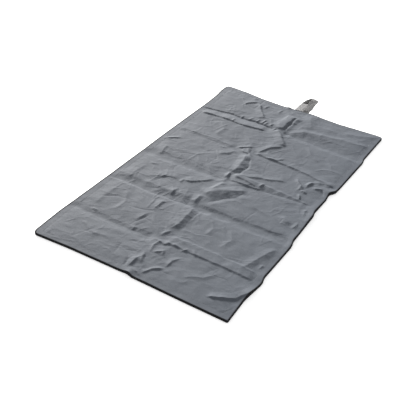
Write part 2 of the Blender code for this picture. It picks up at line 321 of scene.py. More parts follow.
def makeHookTape():
    look = hookTape
    hooks = Finish("blackHookTape", Specular_IOR_Level=0.08)
    stubs = hooks.weave(hooks.clothPlace(), look["pitch"])
    fluff = hooks.noise(hooks.objectPlace(), 300.0)
    # painted shade: darker where the stubs' bump is low, between the hooks
    colour = hooks.mix(hooks.spread(stubs, -0.2, 1.0), look["between"], look["hook"])
    hooks.feed(Base_Color=colour, Roughness=0.55 + fluff * 0.3, Normal=hooks.bump(stubs, look["depth"]))
    return hooks


def makeThread(name, colour):
    thread = Finish(name, Specular_IOR_Level=0.35)
    twist = thread.noise(thread.objectPlace(), 900.0, 2.0)
    thread.feed(
        Base_Color=thread.mix(twist, [c * 0.7 for c in colour[:3]] + [1], colour),
        Roughness=0.5 + twist * 0.2,
        Normal=thread.bump(twist, 0.0002),
    )
    return thread


# What each inner node is made of: two tints, roughness, metal, grain size per metre and grain depth
innerLooks = dict(
    reflective_foil=((0.80, 0.81, 0.82), (0.62, 0.63, 0.65), 0.22, 1.0, 60.0, 0.0012),
    heating_cable=((0.50, 0.06, 0.04), (0.36, 0.04, 0.03), 0.45, 0.0, 400.0, 0.0001),
    heater_carrier=((0.62, 0.60, 0.56), (0.48, 0.46, 0.43), 0.90, 0.0, 900.0, 0.0003),
    supply_lead=((0.020, 0.020, 0.020), (0.040, 0.040, 0.042), 0.45, 0.0, 300.0, 0.0001),
    sensor_lead=((0.020, 0.020, 0.020), (0.040, 0.040, 0.042), 0.45, 0.0, 300.0, 0.0001),
    power_inlet_housing=((0.015, 0.015, 0.016), (0.034, 0.034, 0.036), 0.50, 0.0, 1400.0, 0.00012),
    inlet_pin=((0.75, 0.72, 0.65), (0.62, 0.60, 0.55), 0.22, 1.0, 600.0, 0.00003),
    thermal_cutout=((0.80, 0.80, 0.78), (0.66, 0.65, 0.62), 0.35, 0.0, 500.0, 0.0001),
    temperature_sensor=((0.04, 0.05, 0.06), (0.07, 0.08, 0.09), 0.25, 0.0, 500.0, 0.0001),
    cable_end_termination=((0.04, 0.05, 0.06), (0.07, 0.08, 0.09), 0.30, 0.0, 500.0, 0.0001),
)


def finishInnerNodes():
    for word, (first, second, roughness, metal, grain, depth) in innerLooks.items():
        finish = Finish(word + "Finish", Metallic=metal)
        place = finish.objectPlace()
        fine, broad = finish.noise(place, grain, 3.0, 0.6), finish.noise(place, 14.0, 3.0)
        finish.feed(
            Base_Color=finish.mix(fine * 0.5 + broad * 0.5, (*first, 1), (*second, 1)),
            Roughness=roughness + (fine - 0.5) * 0.15,
            Normal=finish.bump(fine, depth),
        )
        for name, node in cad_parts.items():
            if name.startswith(word):
                finish.putOn(node)


# The shape of the cloth as it lies: creases from being folded, and the crumples between them
rng = np.random.default_rng(29)
latticeSide = 64
latticeTurns = rng.random((latticeSide, latticeSide)) * math.tau


def smoothNoise(x, y, size):  # about -0.7 to 0.7, with features about a size apart
    x, y = x / size, y / size
    i, j = np.floor(x).astype(int), np.floor(y).astype(int)
    fx, fy = x - i, y - j
    ux, uy = fx**3 * (fx * (fx * 6 - 15) + 10), fy**3 * (fy * (fy * 6 - 15) + 10)
    total = 0
    for a in (0, 1):
        for b in (0, 1):
            turn = latticeTurns[(i + a) % latticeSide, (j + b) % latticeSide]
            push = np.cos(turn) * (fx - a) + np.sin(turn) * (fy - b)
            total = total + push * (ux if a else 1 - ux) * (uy if b else 1 - uy)
    return total


def smoothStep(value, low, high):
    t = np.clip((value - low) / (high - low), 0, 1)
    return t * t * (3 - 2 * t)


# Each crease: height, the widths of its left and right flanks as seen along it, then its route.
# All are in millimetres on the blanket, measured from its near left corner.
foldCreases = [
    (-2.2, 20, 26, [(0, 273), (250, 268), (470, 278)]),
    (1.4, 40, 7, [(505, 285), (700, 281), (965, 278)]),
    (1.2, 9, 45, [(520, 338), (760, 336), (965, 328)]),
    (-1.9, 40, 12, [(0, 583), (250, 580), (480, 590)]),
    (1.2, 40, 35, [(10, 642), (260, 640), (450, 652)]),
    (-3.6, 22, 30, [(480, 602), (700, 607), (860, 613), (995, 620)]),
    (-2.2, 40, 20, [(0, 882), (300, 880), (490, 888)]),
    (1.5, 45, 7, [(495, 905), (600, 908), (700, 914)]),
    (1.4, 10, 45, [(505, 963), (700, 956), (955, 942)]),
    (-1.2, 30, 16, [(660, 912), (820, 926), (985, 938)]),
    (1.3, 30, 18, [(0, 1200), (200, 1206), (384, 1197)]),
    (1.7, 30, 9, [(490, 1212), (620, 1203), (800, 1190), (990, 1150)]),
    (1.7, 40, 6, [(22, 1423), (198, 1438), (310, 1434), (440, 1458)]),
    (-1.9, 8, 38, [(5, 1478), (173, 1505), (246, 1504), (349, 1508), (470, 1498)]),
    (-2.4, 60, 26, [(520, 1498), (740, 1491), (1000, 1490)]),
]
middleCreases = [
    (5.4, 44, 32, [(520, 1712), (505, 1631), (495, 1570), (482, 1502)][::-1]),
    (-3.6, 10, 14, [(522, 1706), (516, 1640), (519, 1570), (513, 1508)]),
    (3.9, 11, 34, [(480, 1508), (523, 1463), (600, 1358)]),
    (2.0, 10, 8, [(440, 1236), (470, 1192), (502, 1150)]),
    (1.9, 14, 7, [(412, 1193), (448, 1184), (482, 1180)]),
    (1.5, 12, 6, [(384, 1197), (430, 1230), (471, 1264)]),
    (2.2, 24, 8, [(506, 1212), (537, 1299), (600, 1364)]),
    (1.4, 14, 7, [(563, 1206), (623, 1204), (661, 1261)]),
    (3.6, 26, 34, [(500, 962), (489, 1058), (472, 1168)]),
    (-1.8, 26, 8, [(524, 955), (532, 1060), (500, 1160)]),
    (3.0, 14, 8, [(490, 900), (478, 972)]),
    (2.2, 30, 8, [(500, 945), (573, 943), (664, 921)]),
    (1.9, 9, 9, [(664, 921), (676, 979)]),
    (1.7, 24, 10, [(520, 960), (640, 1008), (760, 1056)]),
    (4.4, 34, 50, [(466, 713), (520, 780), (636, 860)]),
    (-2.0, 50, 18, [(510, 644), (571, 736), (611, 780), (636, 852)]),
    (3.0, 22, 14, [(470, 604), (461, 709)]),
    (2.0, 14, 20, [(474, 759), (512, 872)]),
    (3.6, 34, 22, [(502, 388), (498, 495), (493, 598)]),
    (2.0, 12, 9, [(469, 303), (504, 384)]),
    (2.0, 12, 7, [(462, 279), (524, 266), (552, 298)]),
    (1.5, 8, 7, [(558, 293), (590, 285)]),
    (1.3, 8, 8, [(562, 183), (546, 236)]),
    (1.4, 8, 7, [(606, 258), (640, 304)]),
    (1.3, 7, 8, [(652, 312), (690, 266)]),
    (1.3, 8, 8, [(498, 292), (492, 232), (500, 176)]),
    (2.4, 18, 10, [(478, 34), (482, 78), (487, 132)]),
    (2.2, 9, 18, [(480, 174), (498, 124), (518, 84)]),
    (1.6, 12, 7, [(512, 182), (558, 229)]),
    (1.8, 9, 10, [(503, 50), (573, 13)]),
    (1.8, 14, 8, [(549, 28), (580, 89), (622, 131)]),
    (-1.6, 8, 8, [(462, 20), (452, 70), (440, 104)]),
]
looseCreases = [
    (2.0, 28, 9, [(312, 762), (360, 769), (413, 815), (447, 862)]),
    (1.6, 10, 9, [(322, 728), (318, 772)]),
    (2.3, 24, 9, [(338, 600), (340, 690)]),
    (2.3, 24, 9, [(342, 450), (345, 506), (348, 562)]),
    (1.9, 20, 9, [(317, 336), (342, 428)]),
    (1.6, 9, 14, [(336, 316), (352, 266)]),
    (1.4, 24, 12, [(96, 885), (78, 1004)]),
    (1.1, 26, 14, [(93, 600), (88, 700), (95, 770)]),
    (0.9, 26, 14, [(88, 330), (94, 520)]),
    (1.7, 14, 6, [(20, 1046), (66, 1078), (110, 1106)]),
    (1.3, 14, 7, [(95, 791), (150, 810)]),
    (1.1, 9, 9, [(98, 312), (142, 300)]),
    (1.8, 40, 22, [(148, 676), (232, 742), (300, 770)]),
    (1.8, 26, 14, [(332, 1071), (377, 1113), (406, 1176)]),
    (1.1, 12, 8, [(300, 1160), (352, 1162)]),
    (2.2, 26, 8, [(188, 1654), (225, 1707), (257, 1742)]),
    (1.3, 12, 9, [(200, 1752), (240, 1774)]),
    (3.0, 9, 28, [(264, 1730), (318, 1640), (372, 1564)]),
    (1.5, 12, 7, [(313, 1684), (328, 1746)]),
    (1.5, 12, 7, [(406, 1682), (411, 1750)]),
    (1.5, 9, 6, [(252, 1490), (260, 1534)]),
    (1.3, 8, 6, [(302, 1508), (314, 1550)]),
    (1.6, 8, 7, [(346, 1500), (356, 1552)]),
    (1.5, 8, 6, [(380, 1502), (395, 1578)]),
    (1.6, 9, 6, [(402, 1504), (412, 1552)]),
    (1.5, 8, 6, [(430, 1508), (446, 1562)]),
    (1.5, 9, 7, [(462, 1482), (472, 1520)]),
    (1.3, 9, 6, [(234, 1428), (240, 1474)]),
    (2.6, 8, 14, [(784, 1122), (834, 1070), (860, 1042)]),
    (3.8, 14, 8, [(867, 1062), (876, 1144)]),
    (3.0, 10, 8, [(850, 1030), (898, 1019)]),
    (2.8, 10, 11, [(857, 996), (892, 946)]),
    (2.5, 26, 15, [(872, 1138), (925, 1152), (986, 1156)]),
    (-2.6, 9, 9, [(948, 1104), (984, 1048)]),
    (1.5, 12, 9, [(838, 1086), (838, 1016)]),
    (2.6, 12, 8, [(900, 1074), (946, 1092), (978, 1072)]),
    (1.8, 18, 32, [(862, 742), (886, 768), (938, 732)]),
    (1.9, 11, 12, [(956, 708), (962, 778)]),
    (1.6, 12, 10, [(966, 822), (948, 872), (968, 912)]),
    (2.2, 22, 20, [(896, 312), (906, 369), (922, 432), (964, 540)]),
    (1.4, 8, 8, [(956, 356), (966, 404)]),
    (2.6, 26, 7, [(848, 74), (909, 95), (970, 134), (1006, 212)]),
    (1.6, 12, 8, [(612, 130), (616, 188), (648, 236)]),
    (2.0, 34, 30, [(646, 1622), (598, 1710), (570, 1794)]),
    (1.1, 22, 30, [(640, 1686), (720, 1690), (800, 1680)]),
    (2.5, 22, 44, [(537, 1492), (618, 1574), (814, 1621), (984, 1640)]),
    (1.2, 22, 20, [(800, 1700), (900, 1730), (990, 1780)]),
    (1.4, 20, 14, [(720, 540), (760, 470), (742, 380)]),
    (1.2, 16, 12, [(600, 560), (650, 500), (640, 420)]),
    (1.2, 18, 12, [(150, 520), (200, 440), (190, 350)]),
    (1.2, 20, 14, [(180, 1400), (240, 1330), (230, 1250)]),
    (1.3, 20, 14, [(700, 1440), (760, 1360), (820, 1330)]),
    (1.2, 18, 14, [(640, 820), (720, 760), (800, 742)]),
    (1.2, 18, 14, [(120, 200), (220, 150), (300, 160)]),
    (1.2, 18, 14, [(700, 120), (790, 170), (830, 236)]),
]
crumple = dict(
    count=760, tall=(0.10, 0.42), flank=(3.0, 9.0), long=(40.0, 220.0),  # the small creases strewn over it
    headings=[0.25, 0.9, 1.45, 2.2, 2.9], calmPast=560, calmShare=0.6,  # they are lower past this far across
    swell=2.2, swellSize=330.0,  # the slow rise and fall of the wadding
    facets=((150.0, 4.2, 0.4), (74.0, 2.4, 1.1), (36.0, 1.3, 2.0)),  # size, height and turn of each set of facets
    facetWander=14.0,
)
creaseShape = dict(
    taper=36.0,  # how far from its ends a crease dies away
    reach=2.6,  # how many flanks wide it is worked out
    broadWander=7.0, broadSize=60.0, fineWander=2.6, fineSize=17.0,  # how its line strays from the route
    unevenSize=45.0,
    sharpShare=0.45, sharpFlank=0.72, wideFlank=1.9,  # a sharp crest on a wide foot
)


def addCrease(height, u, v, crease, scale):
    tall, leftFlank, rightFlank, route = crease
    shape = creaseShape
    reach = shape["reach"] * max(leftFlank, rightFlank)
    route = np.array(route, float)
    low, high = route.min(0) - reach, route.max(0) + reach
    columns = np.flatnonzero((u[0] >= low[0]) & (u[0] <= high[0]))
    rows = np.flatnonzero((v[:, 0] >= low[1]) & (v[:, 0] <= high[1]))
    if not len(columns) or not len(rows):
        return
    part = np.ix_(rows, columns)
    x, y = u[part], v[part]
    broadX = shape["broadWander"] * smoothNoise(x + 900, y, shape["broadSize"])
    broadY = shape["broadWander"] * smoothNoise(x, y + 500, shape["broadSize"])
    fineX = shape["fineWander"] * smoothNoise(x, y + 300, shape["fineSize"])
    fineY = shape["fineWander"] * smoothNoise(x + 300, y, shape["fineSize"])
    x, y = x + broadX + fineX, y + broadY + fineY
    nearest = np.full(x.shape, 1e9)
    side, along = np.zeros(x.shape), np.zeros(x.shape)
    walked = 0.0
    for a, b in zip(route, route[1:]):
        step = b - a
        long = np.hypot(*step)
        share = np.clip(((x - a[0]) * step[0] + (y - a[1]) * step[1]) / long**2, 0, 1)
        away = np.hypot(x - a[0] - share * step[0], y - a[1] - share * step[1])
        closer = away < nearest
        nearest = np.where(closer, away, nearest)
        side = np.where(closer, np.sign(step[0] * (y - a[1]) - step[1] * (x - a[0])), side)
        along = np.where(closer, walked + share * long, along)
        walked += long
    fade = min(shape["taper"], walked / 2.5)
    ends = smoothStep(along, -1, fade) * smoothStep(walked - along, -1, fade)
    uneven = 1 + 0.5 * smoothNoise(along + 37 * tall, nearest * 0 + 13 * walked, shape["unevenSize"])
    ratio = nearest / (shape["sharpFlank"] * np.where(side >= 0, leftFlank, rightFlank))
    crest, foot = np.exp(-np.sqrt(ratio * ratio + 0.01)), np.clip(1 - ratio / shape["wideFlank"], 0, 1)
    flank = shape["sharpShare"] * crest + (1 - shape["sharpShare"]) * foot
    height[part] += scale * tall * ends * uneven * flank


def strewnCrease():
    x, y = rng.uniform(0, matWidth), rng.uniform(0, matLength)
    heading = rng.choice(crumple["headings"]) + rng.normal(0, 0.35)
    long = rng.uniform(*crumple["long"]) * rng.uniform(0.4, 1)
    bend = rng.normal(0, 0.25)
    tall = rng.uniform(*crumple["tall"]) * rng.choice([1, 1, -1]) * (0.5 + long / 200)
    tall *= 1 if x < crumple["calmPast"] else crumple["calmShare"]
    leftFlank, rightFlank = rng.uniform(*crumple["flank"], 2)
    middle = (x + math.cos(heading) * long / 2, y + math.sin(heading) * long / 2)
    end = (x + math.cos(heading + bend) * long, y + math.sin(heading + bend) * long)
    return tall, leftFlank, rightFlank, [(x, y), middle, end]


def foldDistance(v):
    return np.min([np.abs(v - f) for f in folds], axis=0)


def mound(u, v, x, y, wide, long):  # 1 at its middle, and falling away round it
    return np.exp(-(((u - x) / wide) ** 2 + ((v - y) / long) ** 2))


crumpled = dict(
    everywhere=0.48,
    middleShare=0.9, middle=490, middleWide=120,  # along the line where the mat was folded lengthwise
    rightShare=0.35, right=(880, 1040, 110, 170),
    foldShare=0.25, foldWide=40,
    leftShare=0.3, left=(340, 1690, 120, 90),
)


def crumpledness(u, v):  # how strong the facets are
    total = crumpled["everywhere"]
    total = total + crumpled["middleShare"] * np.exp(-(((u - crumpled["middle"]) / crumpled["middleWide"]) ** 2))
    total = total + crumpled["rightShare"] * mound(u, v, *crumpled["right"])
    total = total + crumpled["foldShare"] * np.exp(-foldDistance(v) / crumpled["foldWide"])
    return total + crumpled["leftShare"] * mound(u, v, *crumpled["left"])


def facets(u, v):
    total = 0
    for size, tall, turn in crumple["facets"]:
        strayX, strayY = smoothNoise(u + 210, v + 90, size * 0.8), smoothNoise(u + 50, v + 410, size * 0.8)
        x = u * math.cos(turn) + v * math.sin(turn) + crumple["facetWander"] * strayX
        y = v * math.cos(turn) - u * math.sin(turn) + crumple["facetWander"] * strayY
        total = total + tall * (0.22 - np.abs(smoothNoise(x + 31 * size, y * 0.7, size)))
    return total


hem = dict(
    top=10.4, fall=3.0, round=6.5, flatTo=24, risenAt=90,
    groove=0.28, grooveWidth=2.6, pucker=0.4, puckerPitch=21.0, puckerWidth=22,
)
panels = dict(
    foldScale=2.8, middleScale=2.3, looseScale=2.1, strewnScale=2.4,  # for the heights of the creases
    dome=1.5, domeReach=90, below=0.6, calm=0.65, calmFrom=10, calmTo=60,
    lowest=7.6, lowBend=1.2, highest=23, highBend=1.6,  # the cloth bends away softly from these heights
)
lifts = [  # place, reach across and along, and height
    (507, -5, 20, 45, 7.0), (1005, 195, 50, 42, 8.0), (1000, 1105, 50, 42, 8.0), (1000, 860, 40, 110, 8.5),
    (1000, 640, 40, 50, 6.0), (1000, 320, 40, 40, 4.5), (428, 1800, 14, 24, 4.0),
]
underLift = 0.25  # how much of a lift the mat's underside takes


def liftAt(u, v):  # where the whole mat stands off the floor, in millimetres
    total = 0
    for x, y, wide, long, tall in lifts:
        total = total + tall * mound(u, v, x, y, wide, long)
    return total


def insetAt(u, v):  # how far in from the edge
    return np.minimum(np.minimum(u, matWidth - u), np.minimum(v, matLength - v))


def coverHeight(u, v):  # the top of the cloth, in millimetres above the floor
    inset = insetAt(u, v)
    height = np.zeros(u.shape)
    for creases, scale in ((foldCreases, "foldScale"), (middleCreases, "middleScale"), (looseCreases, "looseScale")):
        for crease in creases:
            addCrease(height, u, v, crease, panels[scale])
    for _ in range(crumple["count"]):
        addCrease(height, u, v, strewnCrease(), panels["strewnScale"])
    height += crumple["swell"] * smoothNoise(u, v, crumple["swellSize"]) + facets(u, v) * crumpledness(u, v)
    height += panels["dome"] * smoothStep(foldDistance(v), 0, panels["domeReach"])
    inside = smoothStep(inset, hem["flatTo"], hem["risenAt"])
    base = hem["top"] + (coverTop / mm - hem["top"] - panels["below"]) * inside
    calm = panels["calm"] + (1 - panels["calm"]) * smoothStep(inset, panels["calmFrom"], panels["calmTo"])
    seamShare = np.exp(-(((inset - hemWidth / mm) / hem["puckerWidth"]) ** 2))
    pucker = hem["pucker"] * smoothNoise(u + v, (u - v) * 0.35, hem["puckerPitch"]) * seamShare
    groove = hem["groove"] * np.exp(-(((inset - hemWidth / mm) / hem["grooveWidth"]) ** 2))
    fallen = hem["fall"] * (1 - np.sqrt(1 - (1 - np.clip(inset / hem["round"], 0, 1)) ** 2 * 0.999))
    result = base + height * calm + pucker - groove
    lowest, bend = panels["lowest"], panels["lowBend"]
    result = lowest + bend * np.log1p(np.exp(np.minimum(result - lowest, 40) / bend))
    highest, bend = panels["highest"], panels["highBend"]
    result = highest - bend * np.log1p(np.exp((highest - result) / bend))
    return result - fallen + liftAt(u, v)


liningShape = dict(
    middle=0.5, wave=0.9, waveSize=90, ripple=0.35, rippleSize=34, lowest=0.12,
    fold=1.6, foldWide=9, seam=0.8, seamWide=6,
    cap=0.95, rimCap=3.95, capFrom=22, rimTo=12,  # it stays under the heater's carrier, and may rise at the rim
)


def liningHeight(u, v):
    shape = liningShape
    wave = shape["middle"] + shape["wave"] * smoothNoise(u, v, shape["waveSize"])
    wave = wave + shape["ripple"] * smoothNoise(u, v, shape["rippleSize"])
    fold = shape["fold"] * np.exp(-foldDistance(v) / shape["foldWide"])
    seam = shape["seam"] * np.exp(-(((insetAt(u, v) - hemWidth / mm) / shape["seamWide"]) ** 2))
    height = np.maximum(wave, shape["lowest"]) + fold + seam + underLift * liftAt(u, v)
    x, y = onBlanket(u, v)
    fromRim = np.minimum(halfWidth - np.abs(x), np.minimum(y - nearEdge, farEdge - y)) / mm
    rise = (shape["rimCap"] - shape["cap"]) * (1 - smoothStep(fromRim, shape["rimTo"], shape["capFrom"]))
    return np.minimum(height, shape["cap"] + rise)


edgeWave = dict(  # how far each edge wanders outwards, in millimetres, at places along it
    left=[(0, 2), (200, 9), (420, 4), (800, 0), (1200, -3), (1550, -9), (1660, -7), (1720, 1), (1800, 0)],
    right=[
        (0, 0), (150, -6), (290, 8), (330, -2), (600, 2), (640, -8), (880, -12), (900, -20), (1040, -17),
        (1098, -24), (1122, -3), (1200, 0), (1490, 6), (1520, -2), (1800, 2),
    ],
    near=[(0, 2), (200, -8), (480, -11), (500, -15), (516, -5), (560, -4), (800, 1), (1000, 3)],
    far=[
        (0, 6), (150, 3), (240, -10), (400, -15), (425, -9), (448, -14), (470, -7), (560, -1), (740, -9),
        (970, 6), (1000, 4),
    ],
)
edgeReach = 260.0  # how far in from an edge its wandering is felt
cornerRound = dict(farLeft=22.0, farRight=16.0, nearLeft=28.0, nearRight=5.0)


def wander(edge, along):
    places, offsets = zip(*edgeWave[edge])
    return np.mean([np.interp(along + step, places, offsets) for step in (-14, -7, 0, 7, 14)], axis=0)


def onBlanket(u, v):  # a place on the flat cut, in millimetres, to its place in the frame, in metres
    x, y = np.array(u, float), np.array(v, float)
    corners = dict(nearLeft=(0, 0), nearRight=(matWidth, 0), farLeft=(0, matLength), farRight=(matWidth, matLength))
    for name, (cornerX, cornerY) in corners.items():
        r = cornerRound[name]
        signX, signY = (1 if cornerX else -1), (1 if cornerY else -1)
        centreX, centreY = cornerX - signX * r, cornerY - signY * r
        a, b = (u - centreX) * signX / r, (v - centreY) * signY / r
        inCorner = (a > 0) & (b > 0)
        scale = np.where(inCorner, np.maximum(a, b) / np.maximum(np.hypot(a, b), 1e-9), 1)
        x = np.where(inCorner, centreX + signX * a * r * scale, x)
        y = np.where(inCorner, centreY + signY * b * r * scale, y)
    left, right = smoothStep(edgeReach - u, 0, edgeReach), smoothStep(u, matWidth - edgeReach, matWidth)
    near, far = smoothStep(edgeReach - v, 0, edgeReach), smoothStep(v, matLength - edgeReach, matLength)
    x = x - wander("left", v) * left + wander("right", v) * right
    y = y - wander("near", u) * near + wander("far", u) * far
    return x * mm - halfWidth, y * mm + nearEdge


sheetGrid = dict(
    pitch=3.0,
    liningPitch=12.0,
    edgeSteps=(0, 0.8, 2.0, 3.6, 5.6, 8.0, 11.0),
    foldPitch=1.6,
    foldReach=15.0,
    closest=0.5,
)
foldBend = 0.009  # a distance before and after a fold's hinge; the hinge is offset by it, but nothing is bent with it
segmentEnds = [0.0] + [panelLength * (k + 1.5) for k in range(panelCount - 2)] + [matLength]
segments = list(zip(segmentEnds, segmentEnds[1:]))  # each runs from one panel's middle to the next, over one fold


def gridLine(length, pitch, fine=(), also=()):  # finer at the ends and at the places in fine
    steps = sheetGrid["edgeSteps"]
    line = [*steps, *(length - s for s in steps), *also]
    inner = np.linspace(steps[-1], length - steps[-1], round((length - 2 * steps[-1]) / pitch) + 1)
    line += [p for p in inner if all(abs(p - f) > sheetGrid["foldReach"] for f in fine)]
    for f in fine:
        line += list(f + np.arange(-sheetGrid["foldReach"], sheetGrid["foldReach"] + 0.1, sheetGrid["foldPitch"]))
    line = np.unique(np.round(line, 3))
    gaps = np.diff(line)
    close = [i for i in range(1, len(line) - 1) if gaps[i - 1] < sheetGrid["closest"] and line[i] not in also]
    return np.delete(line, close)


def giveUv(piece, coordinates):  # metres across and along, one pair for each vertex
    while piece.data.uv_layers:
        piece.data.uv_layers.remove(piece.data.uv_layers[0])
    layer = piece.data.uv_layers.new(name="cloth")
    corners = np.empty(len(piece.data.loops), int)
    piece.data.loops.foreach_get("vertex_index", corners)
    layer.data.foreach_set("uv", np.asarray(coordinates, np.float32)[corners].ravel())


def sheetMesh(name, points, flat):  # a grid laid onto points[row, column], with its flat places as its UVs
    rows, columns = points.shape[:2]
    deselectAll()
    bpy.ops.mesh.primitive_grid_add(x_subdivisions=columns - 1, y_subdivisions=rows - 1, size=1)
    sheet = bpy.context.object
    sheet.name = sheet.data.name = name
    places = np.empty(len(sheet.data.vertices) * 3)
    sheet.data.vertices.foreach_get("co", places)
    places = places.reshape(-1, 3)
    column = np.round((places[:, 0] + 0.5) * (columns - 1)).astype(int)
    row = np.round((places[:, 1] + 0.5) * (rows - 1)).astype(int)
    sheet.data.vertices.foreach_set("co", points[row, column].astype(np.float32).ravel())
    sheet.data.update()
    sheet.data.shade_smooth()
    giveUv(sheet, flat[row, column])
    return sheet, row, column


def gridNormals(points, up):
    normal = np.cross(np.gradient(points, axis=1), np.gradient(points, axis=0)) * up
    return normal / np.maximum(np.linalg.norm(normal, axis=2, keepdims=True), 1e-12)


def bendAcrossFold(piece, number):
    fold = nearEdge + folds[number - 1] * mm
    before, after = f"panel_{number}", f"panel_{number + 1}"
    fold - foldBend
    fold + foldBend
    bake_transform(piece)


def nodesOf(word, number):  # a segment stands for one panel's node, and the last one for two
    numbers = [number] if number < panelCount - 1 else [number, panelCount]
    return [f"{word}_{n}" for n in numbers]


def makeSheets(word, u, v, height, up, finish):
    uu, vv = np.meshgrid(u, v)
    x, y = onBlanket(uu, vv)
    points = np.stack([x, y, height(uu, vv) * mm], axis=2)
    flat = np.stack([uu, vv], axis=2) * mm
    normals = gridNormals(points, up)
    for number, (start, end) in enumerate(segments, 1):
        rows = np.flatnonzero((v >= start - 0.01) & (v <= end + 0.01))
        sheet, row, column = sheetMesh(f"{word}_{number}", points[rows], flat[rows])
        if up < 0:
            sheet.data.flip_normals()
        sheet.data.normals_split_custom_set_from_vertices(normals[rows][row, column])
        finish.putOn(sheet)
        bendAcrossFold(sheet, number)
        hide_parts(*nodesOf(word, number))
        (end - start) * mm
    return points


def surfaceAt(u, v):  # the cover's surface, in metres, read from its grid
    i = np.clip(np.searchsorted(coverU, u) - 1, 0, len(coverU) - 2)
    j = np.clip(np.searchsorted(coverV, v) - 1, 0, len(coverV) - 2)
    a = ((u - coverU[i]) / (coverU[i + 1] - coverU[i]))[..., None]
    b = ((v - coverV[j]) / (coverV[j + 1] - coverV[j]))[..., None]
    lower = coverPoints[j, i] * (1 - a) + coverPoints[j, i + 1] * a
    upper = coverPoints[j + 1, i] * (1 - a) + coverPoints[j + 1, i + 1] * a
    return lower * (1 - b) + upper * b


padding = dict(pitch=9.0, gap=0.9, seamGap=3.0, foldGap=4.0, least=0.3, stand=0.2, samples=7, fill=0.4)


def makePadding(finish):
    base = foilTop + padding["stand"] * mm
    side = hemWidth / mm + padding["seamGap"]
    for number in range(1, panelCount + 1):
        start = padding["foldGap"] if number > 1 else side
        end = panelLength - (padding["foldGap"] if number < panelCount else side)
        u = np.linspace(side, matWidth - side, round((matWidth - 2 * side) / padding["pitch"]) + 1)
        v = (number - 1) * panelLength + np.linspace(start, end, round((end - start) / padding["pitch"]) + 1)
        uu, vv = np.meshgrid(u, v)
        points = surfaceAt(uu, vv)
        reach = np.linspace(-padding["pitch"], padding["pitch"], padding["samples"])
        around = [surfaceAt(uu + a, vv + b)[:, :, 2] for a in reach for b in reach]
        points[:, :, 2] = np.min(around, axis=0)
        points[:, :, 2] = np.maximum(points[:, :, 2] - padding["gap"] * mm, base + padding["least"] * mm)
        pad, _, _ = sheetMesh(f"padding_{number}", points, np.stack([uu, vv], axis=2) * mm)
        closeUnder(pad, base)
        finish.putOn(pad)
        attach(pad, f"panel_{number}")
        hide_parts(f"insulation_foam_{number}")


def closeUnder(pad, base):  # the rim goes down to a flat underside
    bpy.context.view_layer.objects.active = pad
    bpy.ops.object.mode_set(mode="EDIT")
    bpy.ops.mesh.select_mode(type="EDGE")
    bpy.ops.mesh.select_all(action="DESELECT")
    bpy.ops.mesh.select_non_manifold(extend=False)
    bpy.ops.mesh.extrude_region_move()
    shape = bmesh.from_edit_mesh(pad.data)
    for vertex in shape.verts:
        if vertex.select:
            vertex.co.z = base
    bmesh.update_edit_mesh(pad.data)
    bpy.ops.mesh.edge_face_add()
    bpy.ops.mesh.select_all(action="SELECT")
    bpy.ops.mesh.normals_make_consistent(inside=False)
    bpy.ops.object.mode_set(mode="OBJECT")


def makeWadding():
    fill = Finish("paleWadding", Specular_IOR_Level=0.2)
    fibres, clumps = fill.noise(fill.objectPlace(), 700.0, 4.0, 0.7), fill.noise(fill.objectPlace(), 30.0)
    colour = fill.mix(fibres * 0.5 + clumps * 0.5, (0.72, 0.72, 0.68, 1), (0.55, 0.55, 0.52, 1))
    fill.feed(Base_Color=colour, Roughness=0.85 + clumps * 0.1, Normal=fill.bump(fibres, 0.0006))
    return fill


edgeTape = dict(
    # the tape's path over the cloth's rim: how far in, and how far above the cloth, in millimetres
    over=[(7.0, -0.5), (6.0, 0.5), (3.4, 0.8), (1.0, 0.8)],
    narrow=0.55,  # how far in it reaches at the near and right edges, beside the other two
    # and on round the edge to the underside: how far in, and the share of the rim's height
    round=[(-0.3, 0.9), (-1.3, 0.7), (-1.7, 0.45), (-1.5, 0.22), (-0.6, 0.08), (1.4, 0.03), (7.0, 0.04)],
    pitch=5.0,
)


def tapeStrip(route):  # route: places on the outline, each with the way out of it
    outline = np.array(route, float)
    path = [(inset, 1, stand) for inset, stand in edgeTape["over"]]
    path += [(inset, share, 0) for inset, share in edgeTape["round"]]
    walked = np.concatenate([[0], np.cumsum(np.hypot(*np.diff(outline[:, :2], axis=0).T))])
    rows, flat, rim = [], [], 0
    across = 0.0
    for index, (inset, share, stand) in enumerate(path):
        if share == 1:
            inset = inset * np.where((outline[:, 2] > 0) | (outline[:, 3] < 0), edgeTape["narrow"], 1)
        u, v = outline[:, 0] - outline[:, 2] * inset, outline[:, 1] - outline[:, 3] * inset
        if share == 1:
            rim = surfaceAt(np.clip(u, 0, matWidth), np.clip(v, 0, matLength))[:, 2] + stand * mm
        x, y = onBlanket(u, v)
        rows.append(np.stack([x, y, rim * share], axis=1))
        if index:
            across += np.linalg.norm(rows[-1] - rows[-2], axis=1).mean()
        flat.append(np.stack([walked * mm, walked * 0 + across], axis=1))
    strip, _, _ = sheetMesh("tape", np.stack(rows, axis=1), np.stack(flat, axis=1))
    return strip


def sideRoute(side, start, end):
    places = set(np.round(np.linspace(start, end, round((end - start) / edgeTape["pitch"]) + 1), 3))
    for f in folds:
        if start < f < end:
            reach = sheetGrid["foldReach"]
            places |= set(np.round(np.arange(f - reach, f + reach + 0.1, sheetGrid["foldPitch"]), 3))
    return [(0.0 if side < 0 else matWidth, p, side, 0) for p in sorted(places)]


def endRoute(v):
    return [(p, v, 0, 1 if v else -1) for p in np.linspace(0, matWidth, round(matWidth / edgeTape["pitch"]) + 1)]


inletOpening = dict(reach=0.02, low=0.0022, high=0.0088)


